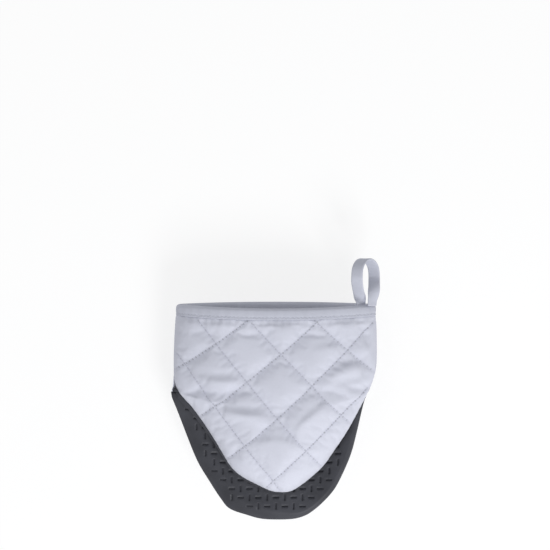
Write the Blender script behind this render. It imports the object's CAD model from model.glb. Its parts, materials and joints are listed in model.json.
"""Pinch-grip oven mitt: quilted cloth, wadding and lining round a folded silicone palm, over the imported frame."""

import json

import bmesh
import bpy
import numpy as np
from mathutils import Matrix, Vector


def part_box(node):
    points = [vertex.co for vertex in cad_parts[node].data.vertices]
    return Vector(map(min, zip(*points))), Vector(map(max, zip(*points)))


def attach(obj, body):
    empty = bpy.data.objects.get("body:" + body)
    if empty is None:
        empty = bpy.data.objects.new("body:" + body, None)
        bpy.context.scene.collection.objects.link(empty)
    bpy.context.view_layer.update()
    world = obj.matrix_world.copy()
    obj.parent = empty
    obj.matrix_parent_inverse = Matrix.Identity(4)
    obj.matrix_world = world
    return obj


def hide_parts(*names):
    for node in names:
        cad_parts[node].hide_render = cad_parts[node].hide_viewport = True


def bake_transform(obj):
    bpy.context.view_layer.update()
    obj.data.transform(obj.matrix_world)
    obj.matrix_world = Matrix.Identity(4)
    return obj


bl_info = {
    "name": "Pinch-grip oven mitt",
    "version": (1, 0, 0),
    "blender": (4, 5, 0),
    "location": "3D View > Sidebar > Oven mitt",
    "description": "Sews a quilted oven mitt with a silicone palm over its packed frame",
    "category": "Add Mesh",
}

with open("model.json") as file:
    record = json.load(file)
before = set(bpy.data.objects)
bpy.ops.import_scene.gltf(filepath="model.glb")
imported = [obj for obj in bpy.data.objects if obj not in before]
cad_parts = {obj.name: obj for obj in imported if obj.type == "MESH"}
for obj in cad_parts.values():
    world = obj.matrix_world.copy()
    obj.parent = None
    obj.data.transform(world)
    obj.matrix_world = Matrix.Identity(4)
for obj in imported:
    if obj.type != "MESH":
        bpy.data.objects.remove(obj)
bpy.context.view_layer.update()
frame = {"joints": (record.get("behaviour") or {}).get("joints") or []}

# Lengths below are in millimetres; pieces are written in metres.
MM = 0.001
JOINTS = {joint["name"]: joint for joint in frame["joints"]}
SEAM_Z = JOINTS["pinch_hinge"]["pos_m"][2] / MM
SIDE_DEPTH = 22.0           # seam plane to the outer face of each side
OVAL_HALF = 66.5            # half width of the oval that each side is drawn to
OVAL_DEPTH = 24.0
OVAL_START = 0.8            # trims the oval's upright start, so the cloth leaves its seam at a slope
ROUNDS = {"thumb": (33.0, 30.2), "finger": (24.0, 22.9)}    # radius of each pocket's arc, and how far in it levels
CUFF_Y = 57.0
BINDING_LOW = 50.2          # lower edge of the cuff tape
CREASE_Y = -0.1             # where both halves of the palm end, just short of the crease
REST_Z = 0.55               # lowest place of the cuff's line, so that its tape rests on the table
GRIP = 1.8                  # thickness of the silicone
MOUTH = 0.3                 # from the seam plane to each half of the palm
WALL = 4.6                  # cover, wadding and lining together
COVER = 0.7                 # thickness of the outer cloth
LINING = 0.55               # thickness of the inner cloth
LINING_INSET = 4.0          # from the outer face of a side to the lining's outer face
PALM_CLOTH_INSET = 4.8      # from the palm's edge to the edge of the cloth behind it
QUILT_CENTRE = (1.0, -17.0)
QUILT_STEPS = 24            # grid cells from one stitch line to the next
QUILT_REACH = 5             # stitch lines of each family to either side of the middle one
GROOVE_PITCH = 5.8
GROOVE_HALF = (2.0, 0.4)    # half the length and half the width of a groove
GROOVE_DEPTH = 0.6
GROOVE_MARGIN = 6.2         # nearest that the middle of a groove comes to the palm's edge
# Grid lines over one pitch: the middle of the land, and both sides of each groove's ends and flanks
GROOVE_GRID = np.array([-2.9, -2.15, -1.95, -0.55, -0.35, 0.35, 0.55, 1.95, 2.15])
PALM_DIP = 1.3              # how far the finger half of the palm dips inside its ridge
TAPE_HALF = (4.0, 0.7)      # half the width and half the thickness of the loop's tape

# Places that the edge of each side runs through, from the left end of the cuff round to the right end
THUMB_EDGE = [
    (-65.6, 57), (-67, 36), (-67.4, 16), (-66.6, 6), (-63.2, -1.2), (-54.6, -11), (-46.2, -22.6), (-37.8, -36),
    (-30.6, -48), (-23.5, -55), (-11.5, -61.5), (-3, -65.2), (4, -66), (10.5, -65), (18.5, -60), (30.4, -49.6),
    (38.8, -38), (47.2, -25.4), (54.5, -12), (59, -3.4), (63.6, 6.5), (65.8, 18), (66.2, 32), (65.4, 57),
]
FINGER_EDGE = [
    (-65.6, 57), (-66.8, 36), (-67.2, 16), (-68, 4), (-69, -1.5), (-65.2, -12), (-57.7, -31.8), (-51.5, -46.5),
    (-44, -59), (-36.7, -70.2), (-30.5, -77.3), (-18.5, -81.6), (-9.5, -83.9), (1, -84.4), (11.5, -83.9),
    (18.5, -82), (24, -78.8), (30.6, -73.2), (37.8, -65.2), (43, -56), (49.3, -41.3), (53.5, -25.6),
    (58.2, -5.6), (62, 2), (66, 16), (66.4, 36), (65.4, 57),
]

# Crossings of stitch lines on the thumb side: steps along the two families of lines, and the place
CROSSINGS = [
    ((0, 0), (0.9, -18.2)), ((1, 0), (23.8, 4.7)), ((2, 0), (47.2, 28.1)), ((0, -1), (-19.0, 8.0)),
    ((1, 1), (43.7, -15.0)), ((0, 1), (19.4, -38.6)), ((-1, -1), (-41.4, -10.0)), ((1, -1), (2.7, 25.7)),
    ((-1, 0), (-20.3, -34.6)), ((0, -2), (-39.1, 32.8)),
]

# Soft folds in the thumb side's cloth: start, middle and end of the crest, height and half width
FOLDS = [
    ((-53, 8.2), (-37.5, 7.4), (-22, 7.0), 2.1, 2.5),
    ((-41, -11.8), (-23.7, -14.1), (-4, -15.9), 2.2, 2.6),
    ((11, -26.5), (20.7, -16.9), (34, -10.0), 1.2, 2.6),
    ((29.5, 6.6), (45.5, 15.0), (62, 14.9), 1.9, 3.0),
    ((36, 1.0), (49.3, 4.6), (62, 7.4), 1.1, 2.3),
    ((22, 27.0), (32.5, 29.3), (43, 28.7), 0.7, 2.6),
    ((-17, -33.6), (0, -31.1), (18, -32.8), 0.6, 2.2),
    ((38, -2.8), (45.4, -1.0), (54, -0.4), 0.6, 1.8),
]

made = {}


class MittSizes(bpy.types.PropertyGroup):
    """Sizes of the sewing that a user may change."""

    quilt_spacing: bpy.props.FloatProperty(
        name="Quilt spacing", description="Distance between the stitch lines of the diamonds",
        default=0.0302, unit="LENGTH")
    quilt_sink: bpy.props.FloatProperty(
        name="Quilt sink", description="How far the stitch lines lie below the face of the cloth",
        default=0.0019, unit="LENGTH")
    stitch_pitch: bpy.props.FloatProperty(
        name="Stitch pitch", description="From one stitch to the next", default=0.0032, unit="LENGTH")
    stitch_length: bpy.props.FloatProperty(
        name="Stitch length", description="Length of one stitch on the face", default=0.002, unit="LENGTH")
    thread_radius: bpy.props.FloatProperty(
        name="Thread radius", description="Half the thickness of the sewing thread",
        default=0.0003, unit="LENGTH")
    cuff_sag: bpy.props.FloatProperty(
        name="Cuff sag", description="How far the middle of the cuff's front edge hangs below its ends",
        default=0.0028, unit="LENGTH")
    edge_roll: bpy.props.FloatProperty(
        name="Palm edge roll", description="How far the edge of the silicone palm rolls down",
        default=0.0036, unit="LENGTH")


class MittColours(bpy.types.PropertyGroup):
    """Colours of the finishes."""

    cloth: bpy.props.FloatVectorProperty(
        name="Cloth", description="Outer cotton cloth", subtype="COLOR", size=3,
        default=(0.651, 0.665, 0.753))
    tape: bpy.props.FloatVectorProperty(
        name="Tape", description="Cuff binding and hanging loop", subtype="COLOR", size=3,
        default=(0.560, 0.575, 0.655))
    lining: bpy.props.FloatVectorProperty(
        name="Lining", description="Inner cotton cloth", subtype="COLOR", size=3,
        default=(0.600, 0.610, 0.670))
    wadding: bpy.props.FloatVectorProperty(
        name="Wadding", description="Filling between the cloths", subtype="COLOR", size=3,
        default=(0.820, 0.815, 0.790))
    thread: bpy.props.FloatVectorProperty(
        name="Thread", description="Sewing thread", subtype="COLOR", size=3,
        default=(0.585, 0.597, 0.680))
    silicone: bpy.props.FloatVectorProperty(
        name="Silicone", description="Moulded palm", subtype="COLOR", size=3,
        default=(0.050, 0.0515, 0.061))


def sizes():
    """The sizes that the user has set."""
    return bpy.context.scene.mitt_sizes


def colours():
    """The colours that the user has set."""
    return bpy.context.scene.mitt_colours


# Curves and outlines


def unit(vectors):
    """Vectors scaled to a length of 1."""
    return vectors / np.maximum(np.linalg.norm(vectors, axis=-1, keepdims=True), 1e-12)


def smooth_step(low, high, value):
    """0 before low, 1 after high, and 3t^2 - 2t^3 in between."""
    t = np.clip((value - low) / (high - low), 0.0, 1.0)
    return t * t * (3 - 2 * t)


def soft_least(a, b, width):
    """The lesser of a and b, rounded over a width where they meet: -w log(exp(-a/w) + exp(-b/w))."""
    return -width * np.logaddexp(-a / width, -b / width)


def curve_through(points, count):
    """Catmull-Rom curve through the points, given at count places evenly spaced along its length."""
    p = np.asarray(points, float)
    p = np.vstack([2 * p[0] - p[1], p, 2 * p[-1] - p[-2]])
    t = np.linspace(0, 1, 24, endpoint=False)[None, :, None]
    a, b, c, d = (p[i:len(p) - 3 + i, None, :] for i in range(4))
    spans = 0.5 * (2 * b + (c - a) * t + (2 * a - 5 * b + 4 * c - d) * t ** 2 + (3 * b - a - 3 * c + d) * t ** 3)
    return evenly(np.vstack([spans.reshape(-1, p.shape[1]), p[-2]]), count)


def run_along(line):
    """Length of a line from its start to each of its points."""
    return np.concatenate([[0], np.cumsum(np.linalg.norm(np.diff(line, axis=0), axis=1))])


def evenly(line, count):
    """The same line given at count places evenly spaced along its length."""
    run = run_along(line)
    place = np.linspace(0, run[-1], count)
    return np.column_stack([np.interp(place, run, line[:, k]) for k in range(line.shape[1])])


def nearest_on(points, line):
    """Nearest place on a line of short segments to each point, and the distance to it."""
    start, step = line[:-1], np.diff(line, axis=0)
    square = np.maximum((step ** 2).sum(1), 1e-12)
    places, gaps = [], []
    for part in np.array_split(points, max(1, len(points) // 4000)):
        along = ((part[:, None, :] - start) * step).sum(2) / square
        foot = start + np.clip(along, 0, 1)[..., None] * step
        gap = np.linalg.norm(part[:, None, :] - foot, axis=2)
        best = gap.argmin(1)
        rows = np.arange(len(part))
        places.append(foot[rows, best])
        gaps.append(gap[rows, best])
    return np.vstack(places), np.concatenate(gaps)


def inside(points, ring):
    """Even-odd test: a point is inside a closed ring where a ray along +x crosses it an odd number of times."""
    x, y = points[:, :1], points[:, 1:2]
    x0, y0 = ring[:-1].T
    x1, y1 = ring[1:].T
    spans = (y0 > y) != (y1 > y)
    rise = np.where(y1 == y0, 1e-12, y1 - y0)
    return (spans & (x < x0 + (y - y0) * (x1 - x0) / rise)).sum(1) % 2 == 1


def closed(line):
    """The line with its first point once more at its end."""
    return np.vstack([line, line[:1]])


def drawn_in(line, amount):
    """The line moved towards the mitt's middle by an amount, along its normals."""
    along = unit(np.gradient(line, axis=0))
    return line + amount * np.column_stack([-along[:, 1], along[:, 0]])


# Meshes


def open_edges(faces):
    """Directed edges that only one face has."""
    edges = np.vstack([np.column_stack([faces[:, k], faces[:, (k + 1) % 4]]) for k in range(4)])
    low, high = edges.min(1), edges.max(1)
    _, first, count = np.unique(low * (faces.max() + 1) + high, return_index=True, return_counts=True)
    return edges[first[count == 1]]


def normals_of(points, faces):
    """Unit normals at the points: the sum of the area vectors of the faces round each one."""
    a, b, c, d = (points[faces[:, k]] for k in range(4))
    area = np.cross(c - a, d - b)
    total = np.zeros_like(points)
    for k in range(4):
        np.add.at(total, faces[:, k], area)
    return unit(total)


def grid_faces(tall, wide):
    """Faces of a grid of points with a number of rows and columns."""
    corner = (np.arange(tall - 1)[:, None] * wide + np.arange(wide - 1)).ravel()
    return np.column_stack([corner, corner + 1, corner + 1 + wide, corner + wide])


def fitted_grid(x, y, ring):
    """A grid over a closed ring. Cells whose middle is inside are kept, and the points on the open edge are moved
    to the nearest place on the ring. Returns flat points, faces that face up, which points are on the open edge,
    and the places of the points in the grid's arrays."""
    flat = np.column_stack([x.ravel(), y.ravel()])
    faces = grid_faces(*x.shape)
    faces = faces[inside(flat[faces].mean(1), ring)]
    used, faces = np.unique(faces, return_inverse=True)
    faces = faces.reshape(-1, 4)
    flat = flat[used]
    rim = np.zeros(len(flat), bool)
    rim[open_edges(faces).ravel()] = True
    flat[rim] = nearest_on(flat[rim], ring)[0]
    a, b, c, d = (flat[faces[:, k]] for k in range(4))
    across, down = c - a, d - b
    if (across[:, 0] * down[:, 1] - across[:, 1] * down[:, 0]).sum() < 0:
        faces = faces[:, ::-1]
    return flat, faces, rim, used


def evened(flat, faces, free, rounds):
    """Points that are free move to the middle of their neighbours, over several rounds."""
    for _ in range(rounds):
        total, count = np.zeros_like(flat), np.zeros(len(flat))
        for k in range(4):
            for j in ((k + 1) % 4, (k + 3) % 4):
                np.add.at(total, faces[:, k], flat[faces[:, j]])
                np.add.at(count, faces[:, k], 1)
        flat = np.where(free[:, None], total / count[:, None], flat)
    return flat


def shell(outer, inner, faces):
    """Closed shell: the outer surface, the inner one turned over, and a rim of quads along the open edge."""
    count = len(outer)
    rim = open_edges(faces)
    walls = np.column_stack([rim[:, 1], rim[:, 0], rim[:, 0] + count, rim[:, 1] + count])
    return np.vstack([outer, inner]), np.vstack([faces, faces[:, ::-1] + count, walls])


def swept(path, side, up, profile, ring):
    """A closed profile carried along a path. Each profile point (a, b) is set off by a along side and b along
    up, each given once or for every step. Returns points and faces; a path that isn't a ring gets two caps."""
    steps, around = len(path), len(profile)
    side, up = (np.broadcast_to(way, path.shape) for way in (side, up))
    points = path[:, None] + profile[None, :, :1] * side[:, None] + profile[None, :, 1:] * up[:, None]
    i = np.arange(steps if ring else steps - 1)[:, None]
    j = np.arange(around)[None, :]
    ahead, beside = (i + 1) % steps, (j + 1) % around
    faces = np.stack(np.broadcast_arrays(
        i * around + j, i * around + beside, ahead * around + beside, ahead * around + j), -1).reshape(-1, 4)
    caps = [] if ring else [list(range(around))[::-1], list(range((steps - 1) * around, steps * around))]
    return points.reshape(-1, 3), faces.tolist() + caps


def uv_grid(along, across):
    """Texture places in metres for points that run across within each step along."""
    return np.stack(np.meshgrid(along, across, indexing="ij"), -1).reshape(-1, 2) * MM


def mark_points(piece, name, values):
    """Stores a number for each point, for the finish to read."""
    piece.data.attributes.new(name, "FLOAT", "POINT").data.foreach_set("value", np.asarray(values, np.float32))
    return piece


def new_piece(name, points, faces, material, uv=None):
    """A smooth-shaded mesh object at the origin. Its points are in millimetres and uv, if given, in metres."""
    mesh = bpy.data.meshes.new(name)
    faces = faces.tolist() if isinstance(faces, np.ndarray) else faces
    mesh.from_pydata((np.asarray(points) * MM).tolist(), [], faces)
    mesh.validate()
    mesh.polygons.foreach_set("use_smooth", np.ones(len(mesh.polygons), bool))
    if uv is not None:
        corners = np.zeros(len(mesh.loops), np.int32)
        mesh.loops.foreach_get("vertex_index", corners)
        layer = mesh.uv_layers.new(name="weave")
        layer.uv.foreach_set("vector", np.asarray(uv, np.float32)[corners].ravel())
    mesh.materials.append(material)
    piece = bpy.data.objects.new(name, mesh)
    bpy.context.scene.collection.objects.link(piece)
    return piece


def face_outwards(piece):
    """Turns a closed mesh right side out."""
    work = bmesh.new()
    work.from_mesh(piece.data)
    bmesh.ops.recalc_face_normals(work, faces=work.faces)
    work.to_mesh(piece.data)
    work.free()
    return piece


def rounded_by_subdivision(piece):
    """Rounds the mesh by one level of subdivision."""
    step = piece.modifiers.new("Smooth cloth", "SUBSURF")
    step.levels = step.render_levels = 1
    return piece


# The two sides of the mitt


def side_edge(side):
    """Edge of a side: a smooth curve through its places."""
    return curve_through(THUMB_EDGE if side == "thumb" else FINGER_EDGE, count=420)


def oval_depth(gap, inset=0.0):
    """Depth of a side at a gap from its edge: an oval's quarter, sqrt(1 - (1 - t)^2) with its upright start cut
    off, held down softly to the flat of the side. An inset draws it in evenly."""
    def quarter(t):
        return np.sqrt(np.maximum(1 - (1 - np.clip(t, 0, 1)) ** 2, 0))
    start = quarter(OVAL_START / OVAL_HALF)
    share = (quarter((gap + OVAL_START) / OVAL_HALF) - start) / (1 - start)
    depth = soft_least((OVAL_DEPTH - inset) * share, np.full_like(gap, SIDE_DEPTH - inset), width=0.7)
    return np.maximum(depth, 0)


def palm_roll(x, y):
    """How far the palm's edge rolls down: more at the left than at the right, and fading out at the crease."""
    return sizes().edge_roll / MM * (1.25 - 0.5 * smooth_step(-40, 40, x)) * (1 - smooth_step(-22, -2, y))


def palm_drop(flat, gap):
    """How far the finger half of the palm lies below its mouth at a gap from its edge. It has a low ridge, broad at
    the left and near the edge at the right, from which it rolls down to the edge and dips towards the middle."""
    x, y = flat.T
    ridge = 2.8 + 6.0 * (1 - smooth_step(-30, 30, x))
    roll = palm_roll(x, y) * np.clip(1 - gap / ridge, 0, 1) ** 1.6
    return roll + PALM_DIP * smooth_step(ridge, ridge + 9, gap) * (1 - smooth_step(-22, -2, y))


def seam_offset(side, x, y):
    """How far a side's edge stands off the seam plane. Past the crease the palm lies between the two sides, and
    the finger half of the palm rolls down at its edge."""
    lift = (MOUTH + GRIP + 0.1) * (1 - smooth_step(-6, 4, y))
    return lift if side == "thumb" else lift + palm_roll(x, y)


def cuff_shift(side, x, y):
    """The cuff's edge hangs in a shallow arc on the thumb side and stands a little higher on the finger side."""
    share = smooth_step(5, CUFF_Y, y)
    arc = 1 - np.clip(x / OVAL_HALF, -1, 1) ** 2
    if side == "thumb":
        return -sizes().cuff_sag / MM * arc * share
    return 1.2 * arc * share


def pocket_rise(side, gap, inset):
    """Share of a pocket's depth at a gap from its edge, 0 to 1: an arc that leaves the edge at a slope and levels
    out. An inset draws it in evenly."""
    radius, reach = (length - inset for length in ROUNDS[side])
    start = np.sqrt(radius ** 2 - reach ** 2)
    return (np.sqrt(radius ** 2 - (reach - np.minimum(gap, reach)) ** 2) - start) / (radius - start)


def side_surface(side, flat, gap, inset):
    """A side's surface over flat points at a gap from its edge. Its depth from the seam plane is the lesser of the
    pocket's arc and the crown's oval, where past the crease the oval is taken from the mitt's full width."""
    x, y = flat.T
    off = seam_offset(side, x, y)
    pocket = off + (SIDE_DEPTH - inset - off) * pocket_rise(side, gap, inset) + 9 * smooth_step(-10, 25, y)
    past_crease = 1 - smooth_step(-12, 4, y)
    crown = oval_depth(gap + past_crease * np.maximum(OVAL_HALF + 4 - np.abs(x) - gap, 0), inset)
    depth = np.maximum(soft_least(pocket, crown, width=0.4), 0)
    z = SEAM_Z + depth if side == "thumb" else SEAM_Z - depth
    return np.column_stack([x, y + cuff_shift(side, x, y), z])


def fold_field(flat):
    """Sum of soft folds. Each crest is a parabola through three places. Above it the cloth falls off steeply and
    below it gently, as two halves of a bell, times a half sine along the crest. A shallow dip runs above it."""
    x, y = flat.T
    total = np.zeros(len(flat))
    for start, middle, end, height, width in FOLDS:
        line = np.polyval(np.polyfit(*zip(start, middle, end), 2), x)
        along = np.sin(np.pi * np.clip((x - start[0]) / (end[0] - start[0]), 0, 1)) ** 0.8
        above, below = np.clip(y - line, 0, None), np.clip(y - line, None, 0)
        bell = np.exp(-(above / width) ** 2 - (below / (1.9 * width)) ** 2)
        dip = 0.35 * np.exp(-((y - line - 2.1 * width) / (1.1 * width)) ** 2)
        total += height * along * (bell - dip)
    return total


def gathers(flat):
    """Small upright ripples where the cloth dips under the binding: a sine along x less a dip, under a bell
    along y."""
    x, y = flat.T
    return (0.3 * np.sin(1.25 * x + 1.1 * np.sin(x / 9)) - 0.35) * np.exp(-((BINDING_LOW - y) / 4.5) ** 2)


def held_cloth(start, faces, held, pressure, reach):
    """Cloth held along its stitch lines and edge swells under a light pressure for some frames. It runs at a
    larger size, and no point moves further than reach."""
    size_up, frames = 10.0, 20
    scene = bpy.context.scene
    work = new_piece("cloth_at_work", start * size_up, faces, None)
    work.vertex_groups.new(name="held").add(np.flatnonzero(held).tolist(), 1.0, "REPLACE")
    cloth = work.modifiers.new("Cloth", "CLOTH")
    stuff = cloth.settings
    stuff.vertex_group_mass = "held"
    stuff.quality = 6
    stuff.mass = 0.25
    stuff.tension_stiffness = stuff.compression_stiffness = 25
    stuff.shear_stiffness = 10
    stuff.bending_stiffness = 1.5
    stuff.use_pressure = True
    stuff.uniform_pressure_force = pressure
    stuff.shrink_min = -0.035
    stuff.effector_weights.gravity = 0
    cloth.collision_settings.use_collision = False
    cloth.point_cache.frame_start = 1
    cloth.point_cache.frame_end = frames
    for step in range(1, frames + 1):
        scene.frame_set(step)
    result = work.evaluated_get(bpy.context.evaluated_depsgraph_get())
    moved = np.zeros(len(start) * 3, np.float32)
    result.data.vertices.foreach_get("co", moved)
    bpy.data.objects.remove(work)
    scene.frame_set(1)
    shift = moved.reshape(-1, 3) / (MM * size_up) - start
    length = np.linalg.norm(shift, axis=1, keepdims=True)
    return start + shift * np.minimum(1, reach / np.maximum(length, 1e-9))


def quilt_places(side, p, q):
    """Where steps p and q along the two families of stitch lines fall. The finger side has a square lattice turned
    by 45 degrees. The thumb side has the quadratic in p and q that fits its crossings best."""
    if side == "finger":
        half = sizes().quilt_spacing / MM / np.sqrt(2)
        return QUILT_CENTRE[0] + half * (p + q), QUILT_CENTRE[1] + half * (p - q)
    steps, places = (np.array(part, float) for part in zip(*CROSSINGS))

    def terms(i, j):
        return np.stack([np.ones_like(i), i, j, i * i, i * j, j * j], -1)
    fit = np.linalg.lstsq(terms(*steps.T), places, rcond=None)[0]
    return tuple(np.moveaxis(terms(p, q) @ fit, -1, 0))


def quilt_grid(side, ring, steps):
    """A grid over a ring that follows the stitch lines, with a number of cells from one line to the next. Returns
    flat points, faces, which points are on the open edge, and their steps along the two families of lines."""
    count = np.arange(-QUILT_REACH * steps, QUILT_REACH * steps + 1) / steps
    p, q = np.meshgrid(count, count)
    flat, faces, rim, used = fitted_grid(*quilt_places(side, p, q), ring)
    return flat, faces, rim, p.ravel()[used], q.ravel()[used]


def quilt_dome(p, q):
    """A low dome in each diamond: the square root of the product of two sines between the stitch lines."""
    return np.sqrt(np.abs(np.sin(np.pi * p) * np.sin(np.pi * q)))


def quilted_side(side):
    """The cloth of one side on a grid that follows the stitch lines, so that every line runs along grid points.
    Stored for the pieces that lie under it: flat points, base surface, its normals and the face of the cloth."""
    edge = side_edge(side)
    flat, faces, rim, p, q = quilt_grid(side, closed(edge), QUILT_STEPS)
    sewn = (np.rint(np.column_stack([p, q]) * QUILT_STEPS).astype(int) % QUILT_STEPS == 0).any(1)
    _, gap = nearest_on(flat, edge)
    flat = evened(flat, faces, ~rim & ~sewn & (gap < 5), rounds=3)
    _, gap = nearest_on(flat, edge)
    base = side_surface(side, flat, gap, 0.0)
    if side == "finger":
        faces = faces[:, ::-1]
    out = normals_of(base, faces)
    clear_of_cuff = 1 - smooth_step(38, BINDING_LOW - 1, flat[:, 1])
    sink = sizes().quilt_sink / MM * smooth_step(0, 9, gap) * (0.12 + 0.88 * clear_of_cuff)
    tuck = 0.55 * smooth_step(BINDING_LOW - 1.0, BINDING_LOW + 0.8, flat[:, 1])
    sewn_face = base - out * (sink + tuck)[:, None]
    dome = quilt_dome(p, q) * smooth_step(0, 6, gap) * (1 - smooth_step(44, 49, flat[:, 1]))
    held = rim | sewn | (flat[:, 1] > BINDING_LOW - 0.4)
    face = held_cloth(sewn_face + out * (0.7 * dome)[:, None], faces, held, pressure=5.0, reach=4.0)
    if side == "thumb":
        free = smooth_step(0, 6, gap) * clear_of_cuff
        face = face + out * (fold_field(flat) * free * (0.35 + 0.65 * np.minimum(1.4 * dome, 1)))[:, None]
        face = face + out * (gathers(flat) * smooth_step(0, 6, gap))[:, None]
    else:
        lowest = 0.2
        face[:, 2] = lowest - soft_least(lowest - face[:, 2], np.zeros(len(face)), width=0.25)
    made[side] = {"edge": edge, "flat": flat, "faces": faces, "gap": gap, "base": base, "out": out, "face": face,
                  "steps": np.column_stack([p, q])}
    return made[side]


def at_places(side, places):
    """The cloth's face at flat places: a mean of the points round each, weighted by a bell of their distance."""
    reach = 0.7
    cloth = made[side]
    square = ((places[:, None, :] - cloth["flat"][None]) ** 2).sum(2)
    weight = np.exp(-square / (2 * reach * reach))
    weight /= weight.sum(1, keepdims=True)
    out = normals_of(cloth["face"], cloth["faces"])
    return weight @ cloth["face"], weight @ out


# Nodes


def feed(tree, node, inputs):
    """Gives each input of a node, by name or place, a value or a link from a socket."""
    for place, value in inputs.items():
        if isinstance(value, bpy.types.NodeSocket):
            tree.links.new(value, node.inputs[place])
        else:
            node.inputs[place].default_value = value
    return node


def add_node(tree, kind, inputs, **settings):
    """A new node, with its properties set and then its inputs fed."""
    node = tree.nodes.new(kind)
    for name, value in settings.items():
        setattr(node, name, value)
    return feed(tree, node, inputs)


def maths(tree, operation, *values):
    """Result of a sum on values or sockets."""
    return add_node(tree, "ShaderNodeMath", dict(enumerate(values)), operation=operation).outputs[0]


def noise(tree, place, scale, detail, distortion=0.0):
    """Soft noise over the place, 0 to 1."""
    values = {"Vector": place, "Scale": scale, "Detail": detail, "Distortion": distortion}
    return add_node(tree, "ShaderNodeTexNoise", values).outputs["Fac"]


def mixed_colour(tree, factor, a, b, blend="MIX"):
    """Colour a where the factor is 0 and b, or a blended with b, where it is 1."""
    values = {"Factor": factor, "A": a, "B": b}
    return add_node(tree, "ShaderNodeMix", values, data_type="RGBA", blend_type=blend).outputs["Result"]


def mixed_shader(tree, factor, a, b):
    """Shader a where the factor is 0 and b where it is 1."""
    return add_node(tree, "ShaderNodeMixShader", {"Fac": factor, 1: a, 2: b}).outputs[0]


def times(colour, strength):
    """The colour times a strength, held to 1."""
    return (*[min(c * strength, 1) for c in colour], 1)


def tint_between(tree, colour, low, high, factor):
    """The colour at low to high times its strength, by a factor from 0 to 1."""
    return mixed_colour(tree, factor, times(colour, low), times(colour, high))


def relief(tree, height, strength, distance):
    """Normal of a surface with a small height on it."""
    values = {"Strength": strength, "Distance": distance, "Height": height}
    return add_node(tree, "ShaderNodeBump", values).outputs["Normal"]


def point_value(tree, name):
    """The number that is stored for the piece's points under a name."""
    return add_node(tree, "ShaderNodeAttribute", {}, attribute_name=name).outputs["Fac"]


def new_group(name, outputs, numbers=()):
    """A node group that takes a place and numbers. Returns it, what comes in, and the node that puts numbers out."""
    group = bpy.data.node_groups.new(name, "ShaderNodeTree")
    group.interface.new_socket("Place", in_out="INPUT", socket_type="NodeSocketVector")
    for way, sockets in (("INPUT", numbers), ("OUTPUT", outputs)):
        for socket in sockets:
            group.interface.new_socket(socket, in_out=way, socket_type="NodeSocketFloat")
    return group, group.nodes.new("NodeGroupInput").outputs, group.nodes.new("NodeGroupOutput")


# Finishes


def plain_weave_group():
    """Height of a plain weave, sin by sin over the thread pitch with slubs from noise, and a slow change of tone."""
    group, source, sink = new_group("Plain weave", ("Height", "Tone"), ("Threads per metre",))
    scaled = add_node(group, "ShaderNodeVectorMath", {
        0: source["Place"], "Scale": source["Threads per metre"]}, operation="SCALE")
    parts = add_node(group, "ShaderNodeSeparateXYZ", {0: scaled.outputs[0]}).outputs
    waves = [maths(group, "SINE", maths(group, "MULTIPLY", parts[axis], np.pi)) for axis in ("X", "Y")]
    slub = noise(group, source["Place"], scale=700, detail=2)
    slow = noise(group, source["Place"], scale=55, detail=4)
    feed(group, sink, {
        "Height": maths(group, "MULTIPLY_ADD", maths(group, "MULTIPLY", *waves), 0.3, slub),
        "Tone": maths(group, "MULTIPLY_ADD", slub, 0.35, slow),
    })
    return group


def needle_marks_group():
    """Small dark marks where the needle went through: near a stitch line of the diamonds, and near the end of
    a stitch along it. The place is measured along the two families of lines."""
    group, source, sink = new_group("Needle marks", ("Marks", "Line"))
    parts = add_node(group, "ShaderNodeSeparateXYZ", {0: source["Place"]}).outputs

    def near(axis, step, low, high, most=1.0):
        """The most within low of a multiple of step, 0 beyond high."""
        return add_node(group, "ShaderNodeMapRange", {
            "Value": maths(group, "PINGPONG", parts[axis], step / 2),
            "From Min": low, "From Max": high, "To Min": most, "To Max": 0}).outputs[0]

    spacing, pitch = sizes().quilt_spacing, sizes().stitch_pitch
    marks, lines = [], []
    for across, along, strength in (("X", "Y", 0.6), ("Y", "X", 1.0)):
        line, end = near(across, spacing, 0.0003, 0.0008), near(along, pitch, 0.0003, 0.0007, strength)
        marks.append(maths(group, "MULTIPLY", line, end))
        lines.append(near(across, spacing, 0.0, 0.0022))
    feed(group, sink, {"Marks": maths(group, "MAXIMUM", *marks), "Line": maths(group, "MAXIMUM", *lines)})
    return group


def shared_group(name, build):
    """The node group of that name, made when it is first asked for."""
    return bpy.data.node_groups.get(name) or build()


def start_finish(name):
    """A new material, its node tree and its Principled shader."""
    finish = bpy.data.materials.new(name)
    finish.use_nodes = True
    return finish, finish.node_tree, finish.node_tree.nodes["Principled BSDF"]


def cloth_finish(name, colour, by_uv=False, marks=False, threads=1600):
    """Woven cotton: thread-by-thread relief, a slow drift of tone, and needle marks where it is quilted."""
    finish, tree, shader = start_finish(name)
    places = tree.nodes.new("ShaderNodeTexCoord").outputs
    weave = add_node(tree, "ShaderNodeGroup", {
        "Place": places["UV" if by_uv else "Object"], "Threads per metre": threads,
    }, node_tree=shared_group("Plain weave", plain_weave_group)).outputs
    tone = tint_between(tree, colour, 0.93, 1.05, weave["Tone"])
    if marks:
        needle = add_node(tree, "ShaderNodeGroup", {"Place": places["UV"]},
                          node_tree=shared_group("Needle marks", needle_marks_group)).outputs
        tone = mixed_colour(tree, needle["Line"], tone, (0.95, 0.95, 0.96, 1), "MULTIPLY")
        shown = maths(tree, "MULTIPLY", needle["Marks"], point_value(tree, "stitched"))
        tone = mixed_colour(tree, shown, tone, times(colour, 0.6))
    feed(tree, shader, {
        "Base Color": tone, "Normal": relief(tree, weave["Height"], strength=0.5, distance=0.00012),
        "Roughness": 0.88, "Specular IOR Level": 0.25, "Sheen Weight": 0.12, "Sheen Roughness": 0.5,
    })
    return finish


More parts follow.
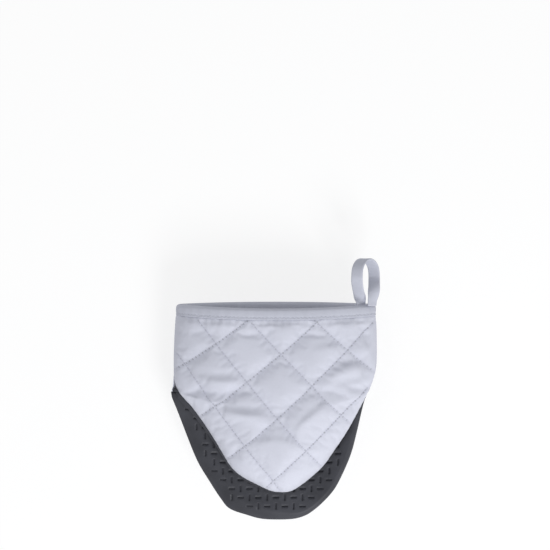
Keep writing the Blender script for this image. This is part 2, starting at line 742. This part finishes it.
def silicone_finish(name, colour):
    """Moulded silicone: a fine matt grain, with broad patches that are a little glossier or dusty."""
    finish, tree, shader = start_finish(name)
    place = tree.nodes.new("ShaderNodeTexCoord").outputs["Object"]
    patches = noise(tree, place, scale=48, detail=5)
    groove = point_value(tree, "groove")
    gloss = add_node(tree, "ShaderNodeMapRange", {"Value": patches, "To Min": 0.32, "To Max": 0.58}).outputs[0]
    feed(tree, shader, {
        "Base Color": mixed_colour(
            tree, groove, tint_between(tree, colour, 0.45, 1.65, patches), times(colour, 0.9)),
        "Roughness": maths(tree, "MAXIMUM", gloss, groove),
        "Normal": relief(tree, noise(tree, place, scale=2500, detail=1), strength=0.25, distance=0.00008),
        "IOR": 1.41, "Specular IOR Level": 0.25,
    })
    return finish


def wadding_finish(name, colour):
    """Needled fibre: soft cloudy relief."""
    finish, tree, shader = start_finish(name)
    place = tree.nodes.new("ShaderNodeTexCoord").outputs["Object"]
    fibres = noise(tree, place, scale=420, detail=6, distortion=1.5)
    feed(tree, shader, {
        "Base Color": tint_between(tree, colour, 0.85, 1.05, fibres),
        "Normal": relief(tree, fibres, strength=0.8, distance=0.0006), "Roughness": 0.95,
    })
    return finish


def thread_finish(name, colour):
    """Twisted sewing thread: fine slanting bands."""
    finish, tree, shader = start_finish(name)
    place = tree.nodes.new("ShaderNodeTexCoord").outputs["Object"]
    twist = add_node(tree, "ShaderNodeTexWave", {"Vector": place, "Scale": 900, "Distortion": 2}).outputs["Fac"]
    feed(tree, shader, {
        "Base Color": tint_between(tree, colour, 0.85, 1.1, twist), "Roughness": 0.6, "Sheen Weight": 0.2,
    })
    return finish


def finish_of(name):
    """The finish of that name, made when it is first asked for."""
    build, colour, options = {
        "Quilted cotton": (cloth_finish, colours().cloth, {"marks": True}),
        "Cotton tape": (cloth_finish, colours().tape, {"by_uv": True, "threads": 1900}),
        "Cotton lining": (cloth_finish, colours().lining, {}),
        "Needled wadding": (wadding_finish, colours().wadding, {}),
        "Sewing thread": (thread_finish, colours().thread, {}),
        "Matt silicone": (silicone_finish, colours().silicone, {}),
    }[name]
    return bpy.data.materials.get(name) or build(name, colour, **options)


# Operators, one for each piece or group of like pieces


class MITT_OT_stage(bpy.types.Operator):
    """Camera above the mitt, soft light from beyond the finger tips, and a pale floor"""

    bl_idname = "mitt.stage"
    bl_label = "Stage"

    def execute(self, context):
        scene = context.scene
        scene.view_settings.view_transform = "Standard"
        self.camera(scene)
        self.lamp(scene, "Key", place=(0.46, -0.9, 0.85), power=9.8, size=0.5)
        self.lamp(scene, "Fill", place=(-0.8, 0.5, 1.1), power=2.0, size=1.0)
        self.world(scene)
        self.floor()
        return {"FINISHED"}

    def camera(self, scene):
        """Straight down from 1.6 m, with the frame's 550 pixels over 361.9 mm of the mitt's middle plane."""
        distance, width, sensor = 1.6, 0.3619, 36.0
        lens = bpy.data.cameras.new("Camera")
        lens.sensor_width = sensor
        lens.lens = sensor * distance / width
        lens.dof.use_dof = False
        eye = bpy.data.objects.new("Camera", lens)
        eye.location = (-0.00066, 0.0767, distance + 0.02)
        scene.collection.objects.link(eye)
        scene.camera = eye

    def lamp(self, scene, name, place, power, size):
        """A square soft box that faces the mitt."""
        light = bpy.data.lights.new(name, "AREA")
        light.energy = power
        light.size = size
        lamp = bpy.data.objects.new(name, light)
        lamp.location = place
        lamp.rotation_mode = "QUATERNION"
        lamp.rotation_quaternion = (Vector((0, 0, 0.02)) - Vector(place)).to_track_quat("-Z", "Y")
        scene.collection.objects.link(lamp)

    def seen_directly(self, tree):
        """1 for rays from the camera, and for what gloss or glass shows."""
        path = tree.nodes.new("ShaderNodeLightPath").outputs
        seen = maths(tree, "MAXIMUM", path["Is Camera Ray"], path["Is Glossy Ray"])
        return maths(tree, "MAXIMUM", seen, path["Is Transmission Ray"])

    def world(self, scene):
        """An even light of the room, which looks white where it is seen."""
        world = scene.world or bpy.data.worlds.new("World")
        scene.world = world
        world.use_nodes = True
        tree = world.node_tree
        tree.nodes.clear()
        room, white = (
            add_node(tree, "ShaderNodeBackground", {"Color": colour, "Strength": strength}).outputs[0]
            for colour, strength in (((0.97, 0.98, 1.0, 1), 0.5), ((1, 1, 1, 1), 1.0))
        )
        shown = mixed_shader(tree, self.seen_directly(tree), room, white)
        add_node(tree, "ShaderNodeOutputWorld", {"Surface": shown})

    def floor(self):
        """A pale sheet that shows white with a faint shadow."""
        finish = bpy.data.materials.new("Pale floor")
        finish.use_nodes = True
        tree = finish.node_tree
        tree.nodes.clear()
        pale, soft = (
            add_node(tree, "ShaderNodeBsdfDiffuse", {"Color": (grey, grey, grey, 1)}).outputs[0]
            for grey in (0.85, 0.95)
        )
        glow = add_node(tree, "ShaderNodeEmission", {"Color": (1, 1, 1, 1), "Strength": 1.06}).outputs[0]
        look = mixed_shader(tree, 0.72, soft, glow)
        shown = mixed_shader(tree, self.seen_directly(tree), pale, look)
        add_node(tree, "ShaderNodeOutputMaterial", {"Surface": shown})
        reach, below, count = 4000.0, -0.15, 9
        steps = np.linspace(-reach, reach, count)
        x, y = np.meshgrid(steps, steps)
        points = np.column_stack([x.ravel(), y.ravel(), np.full(x.size, below)])
        sheet = new_piece("Floor", points, grid_faces(count, count), finish)


class MITT_OT_quilted_cloth(bpy.types.Operator):
    """Outer cloth of both sides, swelled between its stitch lines by cloth simulation"""

    bl_idname = "mitt.quilted_cloth"
    bl_label = "Quilted cloth"

    def execute(self, context):
        for side, name in (("thumb", "thumb_side_cloth"), ("finger", "finger_side_cloth")):
            cloth = quilted_side(side)
            out = normals_of(cloth["face"], cloth["faces"])
            points, faces = shell(cloth["face"], cloth["face"] - COVER * out, cloth["faces"])
            along_lines = np.tile(cloth["steps"], (2, 1)) * sizes().quilt_spacing
            piece = rounded_by_subdivision(new_piece(name, points, faces, finish_of("Quilted cotton"), along_lines))
            mark_points(piece, "stitched", np.tile(smooth_step(1.5, 2.5, cloth["gap"]), 2))
            if side == "thumb":
                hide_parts("cuff_cover", "fold_cover", "thumb_cover")
            else:
                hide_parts("rear_cover")
            carry(piece, side)
        return {"FINISHED"}


def carry(piece, side):
    """The finger side stays put; the thumb side bends from the cuff to the thumb pocket."""
    if side == "finger":
        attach(piece, "finger_side")
    else:
        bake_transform(piece)


class MITT_OT_wadding(bpy.types.Operator):
    """Filling of both sides, between the cloth and the lining"""

    bl_idname = "mitt.wadding"
    bl_label = "Wadding"

    def execute(self, context):
        for side, name in (("thumb", "thumb_side_wadding"), ("finger", "finger_side_wadding")):
            cloth = made[side]
            # Just under the cloth, down to just over the lining, and thinner towards the seam
            full = smooth_step(0, 7, cloth["gap"])[:, None]
            outer = cloth["face"] - cloth["out"] * (0.85 + 0.3 * full)
            inner = cloth["base"] - cloth["out"] * (1.3 + 2.5 * full)
            keep = (cloth["gap"] > 1.2) & (cloth["flat"][:, 1] < CUFF_Y - 1)
            kept = cloth["faces"][keep[cloth["faces"]].all(1)]
            used, kept = np.unique(kept, return_inverse=True)
            points, faces = shell(outer[used], inner[used], kept.reshape(-1, 4))
            piece = new_piece(name, points, faces, finish_of("Needled wadding"))
            if side == "thumb":
                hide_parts("cuff_wadding", "fold_wadding", "thumb_wadding")
            else:
                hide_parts("rear_wadding")
            carry(piece, side)
        return {"FINISHED"}


class MITT_OT_lining(bpy.types.Operator):
    """Inner cloth of both sides"""

    bl_idname = "mitt.lining"
    bl_label = "Lining"

    def execute(self, context):
        for side, name in (("thumb", "thumb_side_lining"), ("finger", "finger_side_lining")):
            edge = drawn_in(side_edge(side), LINING_INSET)
            flat, faces, _, p, q = quilt_grid(side, closed(edge), QUILT_STEPS // 2)
            _, gap = nearest_on(flat, edge)
            face = side_surface(side, flat, gap, LINING_INSET)
            if side == "finger":
                faces = faces[:, ::-1]
            out = normals_of(face, faces)
            dome = 0.9 * quilt_dome(p, q) * smooth_step(0, 8, gap)
            face = face - out * dome[:, None]
            points, faces = shell(face, face - LINING * out, faces)
            piece = rounded_by_subdivision(new_piece(name, points, faces, finish_of("Cotton lining")))
            if side == "thumb":
                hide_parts("cuff_lining", "fold_lining", "thumb_lining")
            else:
                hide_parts("rear_lining")
            carry(piece, side)
        return {"FINISHED"}


def stitches(name, start, stop, out, radius, arch):
    """A piece of stitches as spindles: each runs from start to stop, arched off the cloth, with six sides, five
    rings of radius sqrt(sin) of the way along, and two caps."""
    way = np.array([0.04, 0.22, 0.5, 0.78, 0.96])
    along = stop - start
    side = unit(np.cross(out, along))
    up = unit(np.cross(along, side))
    middle = start[:, None] + along[:, None] * way[None, :, None]
    middle = middle + up[:, None] * (arch * np.sin(np.pi * way))[None, :, None]
    wide = radius * np.sqrt(np.sin(np.pi * way))
    sides, rings = 6, len(way)
    turn = np.linspace(0, 2 * np.pi, sides, endpoint=False)
    cosine, sine = (part[None, None, :, None] for part in (np.cos(turn), np.sin(turn)))
    ring = cosine * side[:, None, None] + sine * up[:, None, None]
    points = middle[:, :, None] + wide[None, :, None, None] * ring
    first = np.arange(len(start))[:, None, None] * sides * rings
    ring_start = first + np.arange(rings - 1)[None, :, None] * sides
    j = np.arange(sides)[None, None, :]
    k = (j + 1) % sides
    quads = np.stack([ring_start + j, ring_start + k, ring_start + sides + k, ring_start + sides + j], -1)
    low = first[:, 0] + np.arange(sides)[None, ::-1]
    high = first[:, 0] + sides * (rings - 1) + np.arange(sides)[None]
    faces = quads.reshape(-1, 4).tolist() + low.tolist() + high.tolist()
    return face_outwards(new_piece(name, points.reshape(-1, 3), faces, finish_of("Sewing thread")))


class MITT_OT_quilting(bpy.types.Operator):
    """Stitches of the diamond quilting, lying in the valleys of the cloth"""

    bl_idname = "mitt.quilting"
    bl_label = "Quilting stitches"

    def execute(self, context):
        pitch = sizes().stitch_pitch / sizes().quilt_spacing
        half = sizes().stitch_length / sizes().quilt_spacing / 2
        lines, places = np.arange(-QUILT_REACH, QUILT_REACH + 1), (np.arange(-50, 50) + 0.5) * pitch
        line, run = (part.ravel() for part in np.meshgrid(lines, places))
        for side, name in (("thumb", "thumb_side_stitches"), ("finger", "finger_side_stitches")):
            starts, stops = (np.vstack([
                np.column_stack(quilt_places(side, run + end, line)),
                np.column_stack(quilt_places(side, line, run + end)),
            ]) for end in (-half, half))
            edge = made[side]["edge"]
            # Stitches stop short of the seam and of the cuff tape
            keep = inside(starts, closed(edge)) & inside(stops, closed(edge))
            keep &= nearest_on((starts + stops) / 2, edge)[1] > 2.0
            keep &= np.maximum(starts[:, 1], stops[:, 1]) < BINDING_LOW - 1.0
            (a, out_a), (b, out_b) = at_places(side, starts[keep]), at_places(side, stops[keep])
            piece = stitches(name, a, b, out_a + out_b, sizes().thread_radius / MM, arch=0.16)
            if side == "thumb":
                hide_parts("cuff_quilting", "fold_quilting", "thumb_quilting")
            else:
                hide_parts("rear_quilting")
            carry(piece, side)
        return {"FINISHED"}


def palm_ring(side):
    """Closed outline of one half of the palm, cut off at the crease. The thumb half stands out a little from
    under the cloth along its left edge."""
    edge = side_edge(side)
    if side == "thumb":
        left = 1 - smooth_step(-12, 12, edge[:, 0])
        near_ear = smooth_step(-40, -6, edge[:, 1])
        edge = drawn_in(edge, -(1.1 * left + 1.6 * left * near_ear)[:, None])
    below = edge[edge[:, 1] < -0.6]
    return closed(np.vstack([[below[0, 0] - 0.3, CREASE_Y], below, [below[-1, 0] + 0.3, CREASE_Y]]))


def groove_lines(low, high):
    """Grid lines along one direction: for every groove, its floor, its rim and the middle of the land between."""
    places = np.arange(low, high + 1)[:, None] * GROOVE_PITCH
    return np.sort((places + GROOVE_GRID).ravel())


def groove_depth(flat, edge):
    """The groove's depth on its floor, and 0 elsewhere. Grooves lie in turn along and across, like a checkerboard,
    and leave out those whose middle is near the edge."""
    places = np.rint(flat / GROOVE_PITCH)
    off = np.abs(flat - places * GROOVE_PITCH)
    lying = places.sum(1) % 2 == 0
    clear = nearest_on(places * GROOVE_PITCH, edge)[1] > GROOVE_MARGIN
    long = np.where(lying, off[:, 0], off[:, 1])
    short = np.where(lying, off[:, 1], off[:, 0])
    return np.where((long < GROOVE_HALF[0]) & (short < GROOVE_HALF[1]) & clear, GROOVE_DEPTH, 0.0)


def palm_level(side, flat, gap, depth):
    """Points at a depth from the seam plane, on the finger half lower by its drop at a gap from its edge."""
    if side == "thumb":
        return np.column_stack([flat, np.full(len(flat), SEAM_Z + depth)])
    return np.column_stack([flat, SEAM_Z - (depth + palm_drop(flat, gap))])


def palm_half(side):
    """One half of the palm on a grid that follows its grooves. The face towards the mouth is grooved."""
    ring = palm_ring(side)
    columns, rows = groove_lines(low=-12, high=12), groove_lines(low=-15, high=-1)
    columns, rows = np.meshgrid(columns, np.append(rows[rows < -0.2], CREASE_Y))
    flat, faces, rim, _ = fitted_grid(columns, rows, ring)
    edge = ring[1:-2]
    _, gap = nearest_on(flat, edge)
    flat = evened(flat, faces, ~rim & (gap < 3.8), rounds=6)
    _, gap = nearest_on(flat, edge)
    smooth = palm_level(side, flat, gap, MOUTH)
    if side == "thumb":
        faces = faces[:, ::-1]
    out = normals_of(smooth, faces)
    depth = groove_depth(flat, edge)
    edge_round = 0.45 * (gap < 0.3)
    points, faces = shell(smooth - out * depth[:, None], smooth - out * (GRIP - edge_round)[:, None], faces)
    return points, faces, np.concatenate([depth > 0, np.zeros(len(depth))])


def bend(x_low, x_high, inner, outer, steps=40):
    """Half a tube along the crease, open towards the tips: a section of two arcs about the crease, carried
    along x."""
    turn = np.linspace(-np.pi / 2, np.pi / 2, 15)
    section = np.vstack([
        np.column_stack([outer * np.cos(turn), outer * np.sin(turn)]),
        np.column_stack([inner * np.cos(turn), inner * np.sin(turn)])[::-1],
    ])
    path = np.column_stack([np.linspace(x_low, x_high, steps), np.zeros(steps), np.full(steps, SEAM_Z)])
    return swept(path, (0, 1, 0), (0, 0, 1), section, ring=False)


class MITT_OT_silicone_palm(bpy.types.Operator):
    """Silicone palm: a finger half, a thumb half and the bend between them"""

    bl_idname = "mitt.silicone_palm"
    bl_label = "Silicone palm"

    def execute(self, context):
        finish = finish_of("Matt silicone")
        for side, name, node, body in (
            ("finger", "silicone_finger_half", "finger_grip", "finger_side"),
            ("thumb", "silicone_thumb_half", "thumb_grip", "thumb_pocket"),
        ):
            points, faces, grooves = palm_half(side)
            piece = mark_points(new_piece(name, points, faces, finish), "groove", grooves)
            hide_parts(node)
            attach(piece, body)
        points, faces = bend(x_low=-67.5, x_high=59.6, inner=MOUTH, outer=MOUTH + GRIP)
        piece = face_outwards(new_piece("silicone_bend", points, faces, finish))
        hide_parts("grip_crease")
        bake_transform(piece)
        return {"FINISHED"}


class MITT_OT_palm_lining(bpy.types.Operator):
    """Inner cloth behind each half of the palm and over the back of its bend"""

    bl_idname = "mitt.palm_lining"
    bl_label = "Palm lining"

    def execute(self, context):
        low = MOUTH + GRIP + 0.15
        for side, name, node, body, flat_size, area in (
            ("finger", "finger_palm_cloth", "finger_palm_lining", "finger_side", (0.128, 0.080), 0.0068),
            ("thumb", "thumb_palm_cloth", "thumb_palm_lining", "thumb_pocket", (0.122, 0.062), 0.0046),
        ):
            edge = drawn_in(side_edge(side), PALM_CLOTH_INSET)
            below = edge[edge[:, 1] < -0.3]
            ring = closed(np.vstack([[below[0, 0], CREASE_Y], below, [below[-1, 0], CREASE_Y]]))
            lines = np.arange(-40, 41) * 2.0
            columns, rows = np.meshgrid(lines, np.append(lines[lines < -1], CREASE_Y))
            flat, faces, _, _ = fitted_grid(columns, rows, ring)
            _, gap = nearest_on(flat, below)
            face = palm_level(side, flat, gap + PALM_CLOTH_INSET, low + LINING)
            if side == "finger":
                faces = faces[:, ::-1]
            out = normals_of(face, faces)
            points, faces = shell(face, face - LINING * out, faces)
            piece = new_piece(name, points, faces, finish_of("Cotton lining"))
            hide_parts(node)
            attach(piece, body)
        points, faces = bend(x_low=-61.5, x_high=57.5, inner=low, outer=low + LINING)
        piece = face_outwards(new_piece("crease_cloth", points, faces, finish_of("Cotton lining")))
        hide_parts("crease_lining")
        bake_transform(piece)
        return {"FINISHED"}


def cuff_line(count):
    """The cuff's oval at the outer face of the cloth, anticlockwise from its right end as seen from the cuff's
    outside: x, the shift of its edge along y, and z. It is a little flat where it rests on the table."""
    turn = np.linspace(0, 2 * np.pi, 721)[:-1]
    right, left = THUMB_EDGE[-1][0], THUMB_EDGE[0][0]
    x = (right + left) / 2 + (right - left) / 2 * np.cos(turn)
    depth = oval_depth(np.minimum(right - x, x - left))
    front = np.sin(turn) >= 0
    z = np.maximum(SEAM_Z + np.where(front, depth, -depth), REST_Z)
    y = np.where(front, *(cuff_shift(side, x, np.full_like(x, CUFF_Y)) for side in ("thumb", "finger")))
    line = evenly(closed(np.column_stack([x, y, z])), count + 1)[:-1]
    return rounded_ring(line, rounds=2)


def rounded_ring(line, rounds):
    """A ring with each point moved to a weighted mean of itself and its neighbours."""
    for _ in range(rounds):
        line = 0.5 * line + 0.25 * (np.roll(line, 1, 0) + np.roll(line, -1, 0))
    return line


def ring_frame(line):
    """Outward normals of a ring in the xz plane."""
    along = np.roll(line, -1, 0) - np.roll(line, 1, 0)
    out = unit(np.column_stack([along[:, 2], np.zeros(len(line)), -along[:, 0]]))
    return out if ((line - line.mean(0)) * out).sum() > 0 else -out


def folded_tape_profile():
    """The binding's section, as (outward, along y): down the outer face, round the fold and down inside, and
    back. A slight hollow marks the topstitch row."""
    low, top = BINDING_LOW, CUFF_Y + 0.8
    turn = np.linspace(0, np.pi, 9)
    middle, half = -WALL / 2 - 0.25, WALL / 2 + 0.75
    fold = np.column_stack([middle + half * np.cos(turn), top - 2.4 + 2.4 * np.sin(turn)])
    inner_fold = np.column_stack([middle + (half - 0.8) * np.cos(turn), top - 2.6 + 1.8 * np.sin(turn)])[::-1]
    face = middle + half
    outer_leg = np.array([
        [face - 0.75, low], [face - 0.35, low - 0.12], [face - 0.05, low + 0.12], [face - 0.02, low + 0.7],
        [face - 0.24, low + 1.2], [face - 0.28, low + 1.4], [face - 0.24, low + 1.65], [face, low + 2.3],
        [face + 0.06, low + 3.6],
    ])
    inner_leg = np.array([[middle - half, low + 1.5], [middle - half, low], [middle - half + 0.7, low]])
    return np.vstack([outer_leg, fold, inner_leg, inner_fold])


class MITT_OT_cuff_tape(bpy.types.Operator):
    """Binding tape folded over the cuff's edge, and its row of topstitching"""

    bl_idname = "mitt.cuff_tape"
    bl_label = "Cuff tape"

    def execute(self, context):
        count = 320
        line = cuff_line(count)
        out = ring_frame(line)
        run = np.arange(count) / count
        ripple = 0.10 * np.sin(2 * np.pi * run * 46) + 0.07 * np.sin(2 * np.pi * run * 29 + 1.3)
        path = line + out * ripple[:, None]
        profile = folded_tape_profile()
        points, faces = swept(path, out, (0, 1, 0), profile, ring=True)
        uv = uv_grid(run * run_along(line)[-1], run_along(profile))
        piece = face_outwards(new_piece("cuff_tape", points, faces, finish_of("Cotton tape"), uv))
        rounded_by_subdivision(piece)
        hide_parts("cuff_binding")
        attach(piece, "finger_side")
        self.topstitch(path, out, profile)
        return {"FINISHED"}

    def topstitch(self, path, out, profile):
        """Stitches in the hollow of the tape, evenly round the cuff."""
        hollow = profile[5]
        row = path + out * (hollow[0] + 0.02) + np.array([0, 1, 0]) * hollow[1]
        pitch, half, fine = 2.7, 0.95, 4000
        dense = evenly(closed(row), fine)
        around = run_along(dense)[-1]
        count = int(around / pitch)
        middle = np.arange(count) * fine // count
        reach = int(half / around * fine)
        start, stop = dense[(middle - reach) % (fine - 1)], dense[(middle + reach) % (fine - 1)]
        turn = np.argmin(((dense[middle][:, None] - row[None]) ** 2).sum(2), axis=1)
        piece = stitches("cuff_tape_stitches", start, stop, out[turn], sizes().thread_radius / MM, arch=0.1)
        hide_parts("binding_topstitch")
        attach(piece, "finger_side")


class MITT_OT_seam_tapes(bpy.types.Operator):
    """Tapes over the raw edges inside the two side seams"""

    bl_idname = "mitt.seam_tapes"
    bl_label = "Seam tapes"

    def execute(self, context):
        half, thick, steps = 3.5, 0.7, 24
        across = np.linspace(-half, half, 9)
        bow = 0.018 * across ** 2
        for name, node, end in (("side_tape_left", "seam_tape_left", -1), ("side_tape_right", "seam_tape_right", 1)):
            lo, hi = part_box(node)
            face = (hi[0] if end > 0 else lo[0]) / MM
            profile = np.vstack([
                np.column_stack([-end * bow, across]),
                np.column_stack([-end * (bow + thick), across])[::-1],
            ])
            y = np.linspace(lo[1] / MM, hi[1] / MM, steps)
            path = np.column_stack([np.full(steps, face - 0.05 * end), y, np.full(steps, SEAM_Z)])
            points, faces = swept(path, (1, 0, 0), (0, 0, 1), profile, ring=False)
            piece = face_outwards(new_piece(name, points, faces, finish_of("Cotton tape"), points[:, 1:] * MM))
            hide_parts(node)
            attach(piece, "finger_side")
        return {"FINISHED"}


class MITT_OT_hanging_loop(bpy.types.Operator):
    """Loop of tape at the right end of the cuff, with its tail inside the cuff and the bartacks that hold it"""

    bl_idname = "mitt.hanging_loop"
    bl_label = "Hanging loop"

    def execute(self, context):
        joint = JOINTS["loop_swing"]
        _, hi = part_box("hanging_loop")
        axis = unit(np.array(joint["axis"], float))
        out = np.cross([0.0, 1, 0], axis)
        out *= np.sign(out[0])
        seat = np.array(joint["pos_m"]) / MM * [1, 0, 1]
        top = hi[1] / MM
        # Way out from the seat and height, from the outer foot over the top to the end of the tail
        line = curve_through([
            (1.3, 56.2), (1.6, 59.5), (2.8, 64), (4.9, 70), (6.0, 76), (4.8, 82), (1.2, top - 2.0), (-3.2, top - 0.9),
            (-7.6, top - 2.6), (-10.2, 80.5), (-9.4, 73), (-6.6, 66.5), (-4.2, 60.5), (-3.4, 55), (-3.6, 50.6),
        ], count=90)
        height = line[:, 1]
        inner = np.arange(len(line)) > height.argmax()
        # Both legs slant along the joint's axis, most at their feet, and the loop's plane turns as it rises
        slant = np.where(inner, 3.0 * (1 - smooth_step(62, 86, height)), -2.2 * (1 - smooth_step(62, 76, height)))
        lean = out * np.column_stack([np.ones((len(line), 2)), 1 - 2.1 * smooth_step(60, 76, height)])
        path = seat + line[:, :1] * lean + line[:, 1:] * [0, 1.0, 0] + slant[:, None] * axis
        along = unit(np.gradient(path, axis=0))
        wide = self.turned_up(axis, along, height, inner)
        profile = self.tape_profile(*TAPE_HALF)
        points, faces = swept(path, wide, np.cross(along, wide), profile, ring=False)
        uv = uv_grid(np.linspace(0, run_along(line)[-1], len(line)), profile[:, 0])
        piece = face_outwards(new_piece("hanging_loop_tape", points, faces, finish_of("Cotton tape"), uv))
        rounded_by_subdivision(piece)
        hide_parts("hanging_loop", "loop_anchor")
        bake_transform(piece)
        self.bartacks(seat, axis, out)
        return {"FINISHED"}

    def turned_up(self, axis, along, height, inner):
        """Direction across the tape: the joint's axis at its foot, turned almost level higher up, so that both legs
        show their faces. The inner leg turns sooner."""
        turn = np.where(inner, smooth_step(57, 66, height), smooth_step(58, 72, height))[:, None]
        wide = (1 - turn) * axis + turn * np.array([-0.93, 0, -0.36])
        return unit(wide - (wide * along).sum(1, keepdims=True) * along)

    def tape_profile(self, wide, thick):
        """A flat tape with rounded selvedges and a folded edge along its middle."""
        a = np.array([-1, -0.93, -0.75, -0.4, 0, 0.4, 0.75, 0.93, 1.0]) * wide
        b = np.array([0.0, 0.8, 1.0, 0.97, 0.93, 0.97, 1.0, 0.8, 0.0]) * thick
        upper = np.column_stack([a, b])
        lower = np.column_stack([a, -b])[::-1][1:-1]
        return np.vstack([upper, lower])

    def bartacks(self, seat, axis, out):
        """Two dense bars of stitches across the tail, on its face towards the hand."""
        count = 9
        rows = np.repeat([52.4, 56.0], count)
        place = np.tile(np.linspace(-2.6, 2.6, count), 2)
        middle = seat + out * -4.45 + place[:, None] * axis + np.outer(rows, [0, 1.0, 0])
        tilt = np.array([0, 0.8, 0])
        start, stop = middle - tilt, middle + tilt + axis * 0.25
        piece = stitches("loop_bartack_stitches", start, stop, -out, radius=0.34, arch=0.1)
        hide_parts("loop_bartacks")
        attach(piece, "finger_side")


class MITT_PT_panel(bpy.types.Panel):
    """Lists the mitt's sizes, colours and pieces"""

    bl_idname = "MITT_PT_panel"
    bl_label = "Oven mitt"
    bl_space_type = "VIEW_3D"
    bl_region_type = "UI"
    bl_category = "Oven mitt"

    def draw(self, context):
        for group in (context.scene.mitt_sizes, context.scene.mitt_colours):
            for name in group.bl_rna.properties.keys():
                if name not in ("rna_type", "name"):
                    self.layout.prop(group, name)
        for operator in OPERATORS:
            self.layout.operator(operator.bl_idname)


OPERATORS = (
    MITT_OT_stage, MITT_OT_quilted_cloth, MITT_OT_wadding, MITT_OT_lining, MITT_OT_quilting, MITT_OT_silicone_palm,
    MITT_OT_palm_lining, MITT_OT_cuff_tape, MITT_OT_seam_tapes, MITT_OT_hanging_loop,
)
CLASSES = (MittSizes, MittColours, *OPERATORS, MITT_PT_panel)


def register():
    """Makes the classes and their settings known to Blender."""
    for item in CLASSES:
        bpy.utils.register_class(item)
    bpy.types.Scene.mitt_sizes = bpy.props.PointerProperty(type=MittSizes)
    bpy.types.Scene.mitt_colours = bpy.props.PointerProperty(type=MittColours)


def unregister():
    """Takes the settings and classes away again."""
    del bpy.types.Scene.mitt_colours
    del bpy.types.Scene.mitt_sizes
    for item in reversed(CLASSES):
        bpy.utils.unregister_class(item)


def main():
    """Makes every piece in order."""
    register()
    for operator in OPERATORS:
        group, name = operator.bl_idname.split(".")
        getattr(getattr(bpy.ops, group), name)()


if __name__ == "__main__":
    main()
